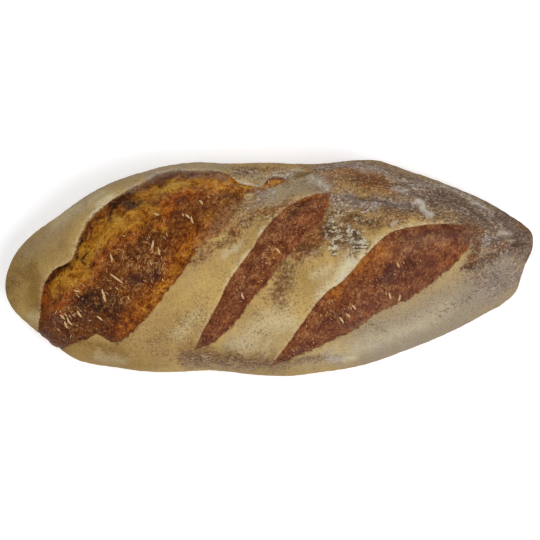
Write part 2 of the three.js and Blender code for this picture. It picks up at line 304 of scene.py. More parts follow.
MIDDLE = Slash(
    (-45.4, -44.2),
    (41.2, 33.6),
    [(0, 0.4), (11, 4.2), (29, 8.4), (40, 11.8), (63, 14.9), (75, 17.2), (90, 16.2), (99, 14), (106, 10.6)]
    + [(115, 4.8)],
    [(0, -0.4), (4, -2.6), (17, -5.8), (31, -6.1), (43, -4.2), (53, -4.7), (66, -2.6), (98, -2.8)]
    + [(107, 0.2), (115, 4)],
    opening=14, closing=14, ear_lift=1.9, ear_spread=8, lip_lift=0.9, valley=2.6, valley_width=5, bulge=1.9,
    lean=0.3, placed=(), drawn=2,
)
RIGHT = Slash(
    (-4.7, -57.2),
    (112, 7.8),
    [(0, 0.4), (10, 4.1), (21, 8), (33, 12.4), (48, 17.1), (57, 17.2), (66, 18.6), (76, 21.8), (94, 24.6)]
    + [(103, 22.6), (113, 18.4), (125, 11.6), (131, 8), (135.5, 4.4)],
    [(0, -0.4), (14, -2.7), (27, -5.2), (40, -6.3), (53, -8.5), (65, -8), (76, -9.8), (92, -11.5)]
    + [(109, -10.2), (116, -9.6), (124, -7.3), (129.5, -5.8), (132.5, -3), (135.5, 2.2)],
    opening=14, closing=14, ear_lift=2.1, ear_spread=9, lip_lift=1, valley=2.8, valley_width=6, bulge=2.6,
    lean=0.3, placed=RIGHT_FLAKES, drawn=4,
)
SLASHES = (WIDE, MIDDLE, RIGHT)

# Creases in the skin: a path, its width and its depth
CREASES = (
    ([(10, 46), (20.9, 48.2), (27.7, 49.5), (33.4, 50.3)], 3, 0.9),
    ([(36.5, 35.6), (48, 33), (59.5, 31.2), (71, 28.7)], 2.6, 1.2),
    ([(92.5, 35.3), (103, 28.6), (111.3, 24.4), (119.3, 18.3), (130, 8.1)], 3.2, 1.4),
    ([(101.5, 36.4), (110.3, 29.3), (117.3, 24.3), (122.6, 20)], 2.4, 0.9),
    ([(134, 0.2), (141, 0.3), (146.5, 1.6)], 2, 1.8),
)


def path_distance(x, across, path):
    """How far each place is from a path, and its share of the way along the path."""
    corners = np.array(path, float)
    lengths = np.linalg.norm(np.diff(corners, axis=0), axis=1)
    reached = np.concatenate([[0], np.cumsum(lengths)])
    nearest = np.full(np.shape(x), np.inf)
    share = np.zeros(np.shape(x))
    for i, length in enumerate(lengths):
        (x0, y0), (x1, y1) = corners[i], corners[i + 1]
        t = np.clip(((x - x0) * (x1 - x0) + (across - y0) * (y1 - y0)) / length**2, 0, 1)
        away = np.hypot(x - lerp(x0, x1, t), across - lerp(y0, y1, t))
        closer = away < nearest
        share = np.where(closer, (reached[i] + t * length) / reached[-1], share)
        nearest = np.where(closer, away, nearest)
    return nearest, share


def stroke(x, across, path, width):
    """1 on a path, falling off over its half width and towards its ends."""
    away, _ = path_distance(x, across, path)
    return bell(away / (width / 2))


def crease_depth(x, across):
    depth = 0
    for path, width, most in CREASES:
        away, share = path_distance(x, across, path)
        taper = 0.15 + 0.85 * np.sin(math.pi * share)
        depth = depth + most * taper * bell(away / (width / 2 * np.maximum(taper, 0.3)))
    return depth


# Relief


def swell(at):
    """Slow swells all over the crust, from a few crossing waves."""
    x, y, z = at[..., 0], at[..., 1], at[..., 2]
    return (
        0.8 * np.sin(x / 21 + 0.7) * np.cos(y / 17 - z / 29)
        + 0.55 * np.sin(x / 10.5 - y / 14 + z / 12 + 1.9)
        + 0.35 * np.sin(y / 7.5 + x / 26 - z / 9)
    )


def edge_lift(cut, x, across):
    """The crust stands up along a slash: high at the ear and a little at the torn edge."""
    along, over = cut.frame_of(x, across)
    ends = smooth((along - cut.start) / cut.opening) * smooth((cut.end - along) / cut.closing)
    share = np.clip((over - cut.torn_edge(along)) / cut.width(along), 0, 1)
    past_ear = np.maximum(0, over - cut.ear_edge(along))
    past_torn = np.maximum(0, cut.torn_edge(along) - over)
    ear = cut.ear_lift * share * bell(past_ear / cut.ear_spread)
    lip = cut.lip_lift * (1 - share) * bell(past_torn / (cut.ear_spread / 2))
    return ends * (ear + lip)


def crumb_height(cut, along, share):
    """The torn crumb swells between its edges and is deepest under the ear."""
    width = cut.width(along)
    size = np.minimum(1, width / FULL_WIDTH)
    opened = lerp(0.2, 1, smooth((along - cut.start) / cut.opening) * smooth((cut.end - along) / cut.closing))
    valley = opened * cut.valley * bell(((1 - share) * width) / cut.valley_width)
    bulge = opened * cut.bulge * np.sin(math.pi * np.clip(share / 0.85, 0, 1)) ** 0.8
    tear = 1.3 * bell((share * width) / 2.5)
    crags = 0.8 * np.sin(along / 3.1 + 4 * share) * np.sin(share * 9 + along / 5.7)
    inside = smooth(share * 4) * smooth((1 - share) * 4)
    return size * (bulge - valley - tear + crags * inside)


def crumb_crags(cut, along, over):
    """Fine torn relief, drawn out along the slash. The wide slash has the coarsest."""
    places = stack(along, over, cut.start_at[0] * 0.37)
    if cut is WIDE:
        strands = ridges(places, (13, 4.6, 8), 3) - 0.5
        lumps = cloud(places, (7, 5, 8), 3, shift=5.1)
        return 1.5 * strands + 0.7 * lumps
    return 0.7 * (ridges(places, (5.5, 3.2, 8), 3, 0.6) - 0.5) + 0.35 * cloud(places, (6, 4, 8), 2, shift=9.7)


def flow_places(x, angle):
    """Places that follow the stretch of the skin, which narrows towards the tips, a little warped."""
    flat = stack(x, FLOW_AROUND * angle, 0)
    warp_along, warp_around = 3.0 * cloud(flat, 17, 2, shift=4.1), 2.4 * cloud(flat, 12, 3, shift=6.3)
    return flat + stack(warp_along, warp_around, 0)


def crust_grain(at, x, across):
    """Fine relief of the skin: shallow blisters all over, and long wrinkles over the back's right half."""
    blisters = 0.2 * cloud(at, 4.2, 3, 0.55)
    wrinkled = stroke(x, across, [(20, 42), (75, 34), (118, 14), (144, 4)], 42)
    wrinkles = 1.1 * wrinkled * (ridges(flow_places(x, angle_of(x, across)), (26, 4.6, 5), 3, 0.5, 3.3) - 0.5)
    rough = stroke(x, across, [(34, 30), (50, 18)], 24)
    return blisters + wrinkles + 0.45 * rough * cloud(at, 2.4, 2, shift=7.7)


def surface(x, across):
    """The loaf's surface at places given by x and across, with the masks that its material needs."""
    angle = angle_of(x, across)
    at = bare_loaf(x, angle)
    flat = stack(x, across, 0)
    relief = swell(at)
    deep = np.full(np.shape(x), -20.0)
    inside_any = wide = crag = shift_x = shift_across = crumb_level = rim_highlight = np.zeros(np.shape(x))
    ear_wobble = 0.35 * cloud(flat, 3.5, 3, shift=1.7)
    torn_wobble = 0.75 * cloud(flat, 3.6, 3, 0.65, shift=2.9)
    for cut in SLASHES:
        relief = relief + edge_lift(cut, x, across)
        along, over = cut.frame_of(x, across)
        width = cut.width(along)
        narrow = smooth(width / 8)
        ear = cut.ear_edge(along) + ear_wobble * narrow
        torn = cut.torn_edge(along) + torn_wobble * narrow
        to_ends = np.minimum(along - cut.start, cut.end - along)
        here = np.minimum(np.minimum(ear - over, over - torn), to_ends)
        inside = smooth((ear - over) / EAR_WALL) * smooth((over - torn) / TORN_WALL) * smooth(to_ends / 2)
        share = np.clip((over - cut.torn_edge(along)) / width, 0, 1)
        height = crumb_height(cut, along, share)
        crags = crumb_crags(cut, along, over) * smooth(width / 12)
        crumb_level = crumb_level + inside * (height + crags * smooth(here / 2.5))
        crag = crag + inside * crags
        under = cut.lean * np.maximum(0, -height) * inside * smooth((share - 0.5) * 2)
        lip = 0.9 * cut.ear_lift / 4 * bell((over - ear) / 2.2) * (1 - inside) * smooth(width / 10)
        slide = under - lip * smooth((over - ear) / 0.3 + 1)
        shift_x = shift_x - slide * cut.axis[1]
        shift_across = shift_across + slide * cut.axis[0]
        # A painted highlight: a pale band just outside each ear, where its raised lip catches the light
        rim_highlight = np.maximum(rim_highlight, bell((over - ear - 0.8) / 0.9) * smooth(to_ends / 8))
        deep = np.maximum(deep, here)
        inside_any = np.maximum(inside_any, inside)
        if cut is WIDE:
            wide = inside
    crease = (1 - inside_any) * crease_depth(x, across)
    relief = relief + crumb_level + (1 - inside_any) * crust_grain(at, x, across) - crease
    fade = smooth(at[..., 2] / RELIEF_FADE) * smooth(tip_rounding(x) / 0.3)
    moved_x = np.clip(x + shift_x * fade, -HALF_LENGTH, HALF_LENGTH)
    moved_angle = np.where(np.abs(shift_x) + np.abs(shift_across) > 1e-4,
                           angle_of(moved_x, across + shift_across * fade), angle)
    base = bare_loaf(moved_x, moved_angle)
    places = base + normal_at(moved_x, moved_angle) * (relief * fade)[..., None]
    masks = {"deep": deep, "wide": wide, "crag": crag, "rim_highlight": rim_highlight, "crease": crease}
    return places, masks


# The painted areas. Each stroke is its width, its strength and the places along it, over the plan.
AREAS = {
    "bake": (
        (22, 1.1, (38, 49), (49, 48), (65, 44), (81, 38), (98, 30)),
        (22, 0.9, (36, 31), (58, 29), (85, 24), (112, 16)), (26, 1.2, (98, 30), (120, 20), (141, 5)),
        (22, 1, (113, 11), (130, 4), (145, -3)), (8, 0.9, (114, 10), (116, 2), (110, -7)),
        (4.5, 1.6, (107, -10), (113, -10), (120, -8)), (16, 0.75, (-30, 24), (-16, 32), (-1, 37)),
        (10, 0.85, (-23, 14), (-15, 22), (-2, 28), (14, 30)), (9, 0.4, (-1, 43), (20, 44), (32, 42)),
        (9, 0.8, (-53, -48), (-35, -49), (-18, -52), (-3, -54)), (7, 0.6, (-4, -52), (12, -54), (35, -55)),
        (13, 1.1, (17, 4), (24, 9), (31, 16)), (10, 1, (47, 20), (62, 17), (75, 19)),
        (14, 0.85, (4, 2), (7, -6), (4, -18)), (14, 0.22, (-81, -42), (-58, -32), (-37, -21)),
        (8, 0.5, (-148, 2), (-143, 9)), (18, 0.6, (115, -16), (125, -21), (135, -17)),
        (3, 0.4, (53, -37), (59, -35), (60, -44)), (16, 0.65, (-12, 52), (16, 50), (38, 49)),
        (15, 0.8, (33, 25), (46, 19), (46, 6)), (7, 0.75, (-40, 4), (-33, 11), (-23, 15)),
        (9, 0.4, (-3, -20), (-7, -30)), (9, 1.15, (117, -9), (124, -6), (133, 0)),
        (6, 0.45, (-48, -43), (-21, -48), (-8, -48)), (9, 0.3, (-112, -34), (-102, -38), (-91, -40)),
        (7, 0.4, (0, -3), (7, -9)), (6, 0.7, (70, 19), (82, 18)),
        (8, 0.35, (92, -36), (102, -31), (113, -24)), (6, 0.55, (125, -10), (135, -7)),
        (6, 0.5, (53, 11), (64, 14)),
    ),
    "red": (
        (5, 0.9, (2, 53), (11, 53), (20, 52)), (11, 1.2, (37, 42), (49, 44), (63, 42), (73, 36)),
        (6, 1.4, (49, 44), (64, 43)), (4, 0.5, (28, 53), (49, 51)), (5, 0.9, (-7, 29), (5, 29), (15, 30)),
        (11, 1, (-26, 25), (-19, 21), (-15, 15)), (11, 1.3, (15, 5), (22, 9), (30, 15)),
        (7, 1.3, (114, 11), (116, 2), (111, -5)), (4, 0.5, (98, 34), (114, 26)),
        (3, 0.4, (86, -47), (88, -41)), (10, 0.5, (-28, 25), (-17, 32), (-3, 36)),
        (4, 0.7, (71, 20), (87, 16)), (6, 0.5, (-39, 6), (-31, 12)), (8, 0.4, (1, 0), (4, -10)),
        (6, 0.8, (25, 5), (32, 8)), (5, 0.55, (122, -2), (130, 1), (139, -2)),
    ),
    "grey": (
        (8, 0.5, (-12, 52), (0, 48), (15, 49)), (12, 0.7, (-1, 37), (20, 41), (36, 40)),
        (6, 1.1, (38, 34), (55, 30), (80, 26)), (22, 0.9, (79, 38), (103, 28), (131, 13)),
        (40, 1, (55, -49), (80, -43), (110, -29), (131, -14)), (22, 1, (118, 4), (141, -1)),
        (8, 0.6, (-113, 40), (-86, 53), (-51, 59), (-20, 57)), (8, 0.35, (-49, -50), (-16, -55), (27, -58)),
        (14, 0.35, (-133, 20), (-110, 37), (-86, 51)), (5, 1.1, (-64, 53), (-48, 55), (-31, 54), (-19, 50)),
        (7, 1, (32, 52), (49, 51), (70, 46)), (8, 0.8, (28, -54), (41, -55)),
        (7, 0.5, (-27, -43), (-17, -41)), (9, 1.15, (135, 13), (143, 4)), (6, 0.7, (5, 49), (13, 49)),
        (6, 1.1, (49, 30), (59, 27)), (11, 0.5, (74, 2), (85, 5), (95, 6)),
        (8, 1.3, (102, 34), (111, 29), (121, 21)), (6, 0.9, (-63, 54), (-48, 55), (-37, 54)),
        (6, 0.4, (62, -15), (68, -10)), (6, 0.8, (-74, 46), (-65, 48)),
    ),
    "white": (
        (5, 1.1, (84, 27), (89, 20)), (7, 0.8, (28, 45), (34, 39)),
        (5.5, 0.7, (34, -17), (39, -11), (44, -4)), (3.5, 0.5, (-23, 6), (-17, 9)),
        (5, 0.8, (74, 36), (79, 35)), (4.5, 0.6, (38, 30), (44, 28), (48, 26)), (9, 0.4, (-7, 34), (6, 39)),
        (10, 0.4, (40, -51), (63, -47), (80, -41)), (1.6, 0.85, (-19, 49), (-14, 46), (-7, 45), (-1, 43)),
        (3.5, 0.7, (130, 8), (135, 6)), (3, 0.6, (119, 4), (121, 6)), (2.5, 0.9, (69, 15), (71, 16)),
        (3.5, 0.7, (46, 7), (50, 5)), (6, 0.6, (29, -54), (40, -55)),
    ),
    "crackle": (
        (9, 1, (36, 17), (38, 9), (36, 5)), (9, 1.1, (43, 13), (49, 8), (50, 4)),
        (7, 0.65, (41, 26), (37, 22)), (4.5, 0.45, (20, 4), (29, 5)), (6, 0.6, (49, 21), (57, 18)),
    ),
    "speck": (
        (16, 1, (32, 22), (43, 14), (44, 3)), (15, 1, (5, 2), (9, -7), (8, -20)), (7, 0.8, (15, 1), (26, 3)),
        (16, 0.7, (-70, -42), (-53, -33), (-41, -27)), (14, 0.8, (-26, 15), (-15, 22), (-6, 28)),
        (9, 0.8, (-43, -51), (4, -57)), (18, 0.8, (-147, -1), (-137, 9)),
        (26, 0.7, (21, 48), (76, 39), (120, 20)), (16, 0.8, (74, 26), (96, 20), (124, 6)),
        (18, 0.4, (111, -9), (133, -14)), (12, 0.5, (-20, -43), (-8, -39)), (4, 1.2, (53, -37), (60, -44)),
        (18, 0.2, (47, -41), (81, -32), (110, -18)), (16, 1.15, (34, 14), (41, 11), (46, 5)),
    ),
    # Paler crust, partly painted highlight where the crests between the slashes, the back edge, the ears'
    # lips and the folds catch the light
    "pale": (
        (15, 0.55, (-17, -42), (-7, -36), (6, -31)), (8, 0.4, (-8, -48), (-1, -42)),
        (10, 0.9, (27, -23), (38, -11), (45, -3)), (10, 0.4, (18, -54), (46, -49), (80, -41), (98, -32)),
        (6, 0.12, (-48, -9), (-42, -1)), (4.5, 0.4, (-24, 6), (-17, 11)), (4, 1, (12, 51), (21, 51)),
        (1.8, 1, (100, 37), (114, 27), (121, 22)), (4.5, 0.6, (130, 9), (136, 6)),
        (4, 0.8, (119, 6), (122, 3)), (5, 0.8, (74, 42), (87, 38), (99, 36)),
        (6, 1, (99, 36), (117, 26), (126, 20)), (4, 0.8, (-18, -6), (-11, 4), (-2, 14), (11, 27)),
        (7, 0.9, (34, -19), (45, -9), (53, -2), (61, 4), (75, 10), (87, 11)), (5, 0.6, (-37, 43), (-23, 43)),
        (6, 0.9, (34, 52), (49, 51), (70, 45)), (8, 0.9, (53, -4), (59, -2), (65, 2)),
        (10, 1.1, (74, -1), (83, 3), (95, 5)), (6, 1.3, (-35, 43), (-23, 43), (-10, 43)),
        (8, 0.4, (-53, -35), (-42, -25)), (5, 0.5, (49, 29), (59, 27)), (5, 0.6, (4, 49), (13, 49)),
        (6, 0.5, (-96, 42), (-89, 46)), (6, 0.7, (29, -55), (41, -55)),
        (8, 0.6, (102, 34), (111, 29), (121, 21)), (6, 0.95, (-95, 33), (-91, 37), (-83, 42)),
        (8, 0.4, (-117, 32), (-104, 41)), (7, 0.6, (36, 46), (51, 44)), (6, 0.5, (24, -10), (32, -6)),
        (7, 0.8, (12, -41), (20, -36)), (6, 0.8, (-57, 46), (-48, 48)), (7, 0.5, (-102, 16), (-97, 21)),
        (7, 0.4, (-135, -18), (-128, -18)), (6, 0.3, (-58, 33), (-54, 36)),
        (6, 0.35, (-101, -43), (-85, -46)), (6, 0.5, (-82, 30), (-74, 34)),
    ),
    # Darker crust, partly painted shade: over the left end and along the left edges, away from the light, and
    # along a crease
    "dim": (
        (32, 0.75, (-148, -1), (-143, 11), (-133, 20)), (20, 0.35, (-127, 25), (-103, 40), (-82, 53)),
        (14, 0.6, (-135, -21), (-110, -40), (-77, -49)), (16, 0.2, (-61, -32), (-55, -26), (-48, -20)),
        (4.5, 1.2, (107, -10), (113, -10), (120, -7)), (7, 0.8, (115, 11), (117, 4), (112, -3)),
        (8, 0.65, (46, 21), (54, 19), (60, 15)), (13, 0.7, (131, 19), (140, 10), (143, 2)),
        (3, 0.9, (92, 34), (106, 29), (118, 21)), (5, 0.8, (74, 39), (82, 39)),
        (7, 0.9, (50, 42), (62, 42), (67, 39)), (9, 0.9, (20, 5), (26, 10), (32, 16)),
        (3, 0.4, (40, 28), (59, 26), (80, 23)), (6, 0.6, (89, 28), (100, 26)),
        (9, 0.8, (117, -9), (124, -6), (132, 0)), (8, 0.5, (-4, -52), (16, -54), (35, -54)),
        (12, 0.9, (-117, -10), (-105, -20), (-94, -22)), (12, 0.5, (14, -4), (19, -10), (22, -17)),
        (14, 0.22, (-7, -29), (3, -27)), (9, 0.4, (-56, -16), (-49, -9), (-43, -1)),
        (10, 0.85, (-115, -30), (-102, -37), (-85, -42)), (10, 0.5, (-50, -44), (-34, -45), (-20, -46)),
        (9, 0.6, (-27, -47), (-9, -52), (23, -55)), (15, 1.05, (-135, 11), (-132, 1), (-131, -11)),
        (5, 0.4, (-10, 43), (0, 44), (12, 44)), (7, 0.3, (-22, 11), (-13, 10)),
        (12, 0.9, (91, -37), (101, -31), (113, -24)), (7, 0.35, (19, 37), (28, 40)),
        (6, 0.9, (113, 12), (116, 5)), (5, 0.6, (104, 18), (111, 16)),
        (6, 1.3, (41, -36), (49, -32), (57, -28)), (6, 0.5, (-6, 13), (0, 21)),
        (6, 0.6, (12, -48), (19, -44)), (8, 0.5, (1, -4), (7, -9)), (8, 1.2, (-125, -20), (-112, -18)),
        (8, 0.3, (-115, 24), (-109, 16)), (6, 0.6, (-10, 43), (-1, 43)), (4, 0.5, (32, -19), (36, -14)),
        (6, 0.9, (11, -54), (21, -54)), (5, 0.6, (110, 18), (120, 15)),
    ),
    "wrinkle": (
        (36, 1, (15, 46), (59, 36), (97, 26), (139, 4)), (16, 1, (117, -1), (145, -3)),
        (9, 0.7, (-49, -50), (23, -57)),
    ),
    "gold": (
        (11, 1.2, (-120, -4), (-113, 0), (-104, 4)), (10, 1.2, (-104, 6), (-101, 14), (-95, 19)),
        (13, 1.25, (-92, 20), (-81, 27), (-64, 33)), (5, 0.5, (-94, 28), (-89, 33)),
        (8, 1.25, (-68, 44), (-52, 47), (-35, 50), (-17, 50)), (3, 0.8, (-60, 22), (-56, 23)),
        (7, 0.3, (-32, 26), (-24, 34), (-13, 37)), (8, 0.42, (-71, -21), (-54, -2), (-37, 18)),
        (4, 0.85, (-15, 45), (-8, 42), (-1, 42), (6, 44), (12, 46)), (4, 0.3, (-7, -12), (-2, -2), (6, 7)),
        (4, 0.35, (67, -26), (53, -34), (36, -40)),
    ),
    "orange": (
        (10, 1.2, (-127, -9), (-123, -2)), (11, 0.9, (-121, -12), (-112, -8), (-103, -3)),
        (9, 1.2, (-61, 27), (-55, 32), (-48, 40)), (9, 1, (-48, 44), (-32, 46), (-16, 46)),
        (11, 0.9, (-94, 9), (-86, 15), (-72, 22)), (10, 0.6, (-99, -3), (-95, 4), (-87, 6)),
        (14, 0.62, (-81, -28), (-67, -15), (-45, 11), (-35, 19)), (6, 0.4, (-35, 38), (-21, 43)),
        (4, 0.7, (33, 29), (31, 23)), (3, 0.5, (17, 31), (29, 34)), (4, 0.6, (99, -7), (109, -1)),
        (7, 0.6, (50, -4), (42, -11), (31, -21)), (9, 0.55, (-55, 31), (-44, 38), (-32, 39)),
        (8, 0.55, (48, -8), (56, -3), (62, 1)), (6, 0.45, (41, -35), (49, -31), (57, -27)),
        (9, 0.6, (-127, -18), (-117, -15)), (6, 0.9, (-97, 21), (-94, 28), (-89, 33)),
    ),
    "tatter": (
        (9, 0.9, (-36, 12), (-28, 23), (-16, 32), (-2, 38)), (7, 0.8, (32, 16), (24, 10), (17, 3)),
    ),
    # Darker crumb, with a painted purple reflection of the sky
    "dark_and_sky_reflection": (
        (14, 0.3, (-49, 30), (-36, 34), (-23, 36)), (11, 0.6, (-76, -5), (-67, -2), (-59, 1)),
        (16, 0.9, (62, -16), (70, -10), (83, -5)), (9, 0.6, (13, -46), (25, -36), (42, -29), (57, -25)),
        (9, 0.8, (73, 8), (90, 9), (108, 7)), (8, 0.5, (-3, 15), (8, 24), (19, 30)),
        (5, 0.7, (-19, -17), (-12, -14)), (5, 0.35, (-33, -28), (-39, -37)),
        (5, 0.9, (-98, 22), (-94, 27), (-88, 32)),
    ),
    "char": (
        (2.2, 0.8, (-125, 1), (-120, 5), (-115, 8), (-109, 9)),
        (2.2, 0.8, (-106, 11), (-103, 20), (-98, 27), (-92, 32), (-88, 35)),
        (2, 0.75, (-84, 39), (-78, 42), (-70, 47)), (4.5, 1.05, (-81, 38), (-76, 39), (-69, 39)),
        (3, 1, (-84, 36), (-85, 29)), (1.6, 1.3, (-100, 15), (-101, 13), (-103, 10), (-102, 9)),
        (1.3, 0.7, (-48, 56), (-34, 55), (-24, 53)), (18, 0.3, (-82, 8), (-75, 14), (-67, 16)),
        (16, 0.75, (-103, -14), (-96, -14), (-88, -17)), (14, 0.2, (-73, 19), (-67, 21), (-59, 19)),
        (10, 0.5, (-74, -4), (-65, -2), (-58, 2)), (12, 0.35, (-118, -22), (-106, -28), (-92, -26)),
        (9, 0.4, (61, -13), (67, -9), (77, -7)), (5, 0.6, (31, -30), (37, -32)), (7, 0.4, (72, 0), (87, 4)),
        (7, 0.4, (-30, 35), (-16, 39)), (6, 0.4, (10, 22), (19, 27)), (5, 0.5, (-65, 23), (-59, 28)),
    ),
    "bran": (
        (16, 1, (-88, 8), (-78, 13), (-71, 10), (-62, 13)),
        (15, 0.75, (-105, -7), (-97, -5), (-89, -8), (-84, -13)),
        (11, 0.75, (-117, -22), (-110, -17), (-105, -19)), (11, 0.9, (-78, -6), (-68, -6), (-61, 4)),
        (11, 0.4, (-32, 36), (-26, 34), (-18, 37)), (14, 1, (0, 4), (3, 12), (9, 19), (18, 26)),
        (10, 0.5, (-20, -19), (-8, -1)), (14, 0.5, (73, 9), (95, 6)),
        (11, 0.6, (24, -32), (36, -27), (49, -20)), (9, 0.5, (59, -20), (71, -16)),
    ),
}


def wander(x, across):
    """Places shifted a little to and fro, so that painted edges wander."""
    flat = stack(x, across, 0)
    return x + 2.6 * cloud(flat, 13, 3, 0.6, 3.7), across + 2.2 * cloud(flat, 11, 3, 0.6, 8.3)


def painted(name, x, across):
    """How strongly an area is painted at each place."""
    strength = 0
    for width, most, *path in AREAS[name]:
        strength = np.maximum(strength, most * stroke(x, across, path, width))
    return strength


# The loaf's mesh


def add_to_scene(name, data):
    thing = bpy.data.objects.new(name, data)
    bpy.context.scene.collection.objects.link(thing)
    return thing


def add_layer(mesh, name, values, kind="FLOAT", field="value"):
    layer = mesh.attributes.new(name, kind, "POINT")
    layer.data.foreach_set(field, np.asarray(values, np.float32).ravel())


def with_tips(values):
    """Values for the rings' points and then for the two tips, which take those of the first and last."""
    return np.concatenate([values, values[[0, -1]]])


def ring_angles(x):
    """The angles of a ring at each station: over the top, down the back, across the base, up the front."""
    top = TOP_TURN * np.linspace(-1, 1, TOP_RINGS + 1)
    ground = ground_turn(x)[:, None]
    side = lerp(TOP_TURN, ground, np.arange(1, SIDE_RINGS + 1) / SIDE_RINGS)
    base = lerp(ground, math.pi, np.arange(1, BASE_RINGS) / BASE_RINGS)
    middle = np.full((len(x), 1), math.pi)
    top = np.broadcast_to(top, (len(x), TOP_RINGS + 1))
    return np.concatenate([top, side, base, middle, -base[:, ::-1], -side[:, ::-1]], axis=1)


def build_loaf():
    steps = 2 * np.arange(1, STATIONS) / STATIONS - 1
    stations = HALF_LENGTH * np.sin(TIP_CROWDING * steps) / math.sin(TIP_CROWDING)
    angles = ring_angles(stations)
    rings, around = angles.shape
    x = np.repeat(stations, around)
    across = across_of(x, angles.ravel())
    places, masks = surface(x, across)
    places[:, 2] = np.where(np.abs(angles.ravel()) > np.repeat(ground_turn(stations), around),
                            bare_loaf(x, angles.ravel())[:, 2], places[:, 2])
    tips = bare_loaf(np.array([-HALF_LENGTH, HALF_LENGTH]), np.zeros(2))
    mesh = bpy.data.meshes.new("loaf_crust")
    first, last = rings * around, rings * around + 1
    quads = []
    for ring in range(rings - 1):
        low, high = ring * around, (ring + 1) * around
        for i in range(around):
            j = (i + 1) % around
            quads.append((low + i, high + i, high + j, low + j))
    caps = [(first, i, (i + 1) % around) for i in range(around)]
    end = (rings - 1) * around
    caps += [(last, end + (i + 1) % around, end + i) for i in range(around)]
    mesh.from_pydata((np.concatenate([places, tips]) * MM).tolist(), [], quads + caps)
    wandered = wander(x, across)
    for name in AREAS:
        masks[name] = painted(name, *wandered)
    for name, values in masks.items():
        add_layer(mesh, name, with_tips(values))
    add_layer(mesh, "flow", with_tips(flow_places(x, angles.ravel())), "FLOAT_VECTOR", "vector")
    mesh.shade_smooth()
    return add_to_scene("loaf_crust", mesh)


# Bran flakes

SMALL_SHARES = (0.1, 0.82)  # how far over a slash small flakes lie, from its torn edge to its ear
SMALL_WIDTHS = (0.12, 0.2)  # their widths as shares of their lengths, and what is added to each width
SMALL_WIDTH_ADDED = 0.16
SMALL_TURN = (1.35, 0.55)  # the mean and the spread of their turns
SMALL_ENDS = 6  # they keep this far from a slash's ends, and those outside the clusters a little more
STREWN_ENDS = 8

# The small flakes of each slash: their number, their shortest and longest, and their clusters
SMALL_FLAKES = (
    (WIDE, 290, (0.7, 2.8), ((60, 13), (80, 4), (70, -3), (34, 13), (43, 2), (20, 6), (76, 17))),
    (MIDDLE, 110, (0.6, 2.2), ((80, 4), (68, 5), (50, 5))),
    (RIGHT, 130, (0.5, 2.2), ((48, 6), (59, 0), (73, 6), (27, 6), (86, 5), (102, 12))),
)


def drawer(seed):
    """The repeatable draw of numbers from 0 to 1 that also places the solid's flakes."""
    state, factor, size = seed, 16807, 2147483647
    while True:
        state = state * factor % size
        yield state / size


def large_flakes():
    """Place, turn and length of the flakes that the solid has too."""
    draw = drawer(FLAKE_SEED)
    flakes = []
    for cut in SLASHES:
        for along, over, turn, length in cut.placed:
            share = (over - cut.torn_edge(along)) / cut.width(along)
            flakes.append((cut, along, share, math.radians(turn), length, FLAKE_WIDTH, FLAKE_HEIGHT))
        for _ in range(cut.drawn):
            along = lerp(cut.start + FLAKE_ENDS[0], cut.end - FLAKE_ENDS[1], next(draw))
            share = lerp(FLAKE_MARGIN, 1 - EAR_MARGIN, next(draw))
            turn = lerp(*FLAKE_TURN, next(draw))
            length = lerp(*FLAKE_LENGTH, next(draw))
            flakes.append((cut, along, share, turn, length, FLAKE_WIDTH, FLAKE_HEIGHT))
    return flakes


def small_flakes(draw, cut, count, lengths, clusters):
    """Slivers, most of them near the clusters, which are places along and over the slash."""
    flakes = []
    while len(flakes) < count:
        if draw.uniform() < CLUSTER_SHARE:
            middle = clusters[draw.integers(len(clusters))]
            along, over = draw.normal(middle, CLUSTER_SPREAD)
        else:
            along = draw.uniform(cut.start + STREWN_ENDS, cut.end - STREWN_ENDS)
            over = draw.uniform(cut.torn_edge(along), cut.ear_edge(along))
        share = (over - cut.torn_edge(along)) / cut.width(along)
        in_length = cut.start + SMALL_ENDS < along < cut.end - SMALL_ENDS
        if not (in_length and SMALL_SHARES[0] < share < SMALL_SHARES[1]):
            continue
        length = lerp(*lengths, draw.uniform() ** 2.5)
        width = length * draw.uniform(*SMALL_WIDTHS) + SMALL_WIDTH_ADDED
        turn = draw.normal(*SMALL_TURN)
        flakes.append((cut, along, share, turn, length, width, 0.5 * width + 0.1))
    return flakes


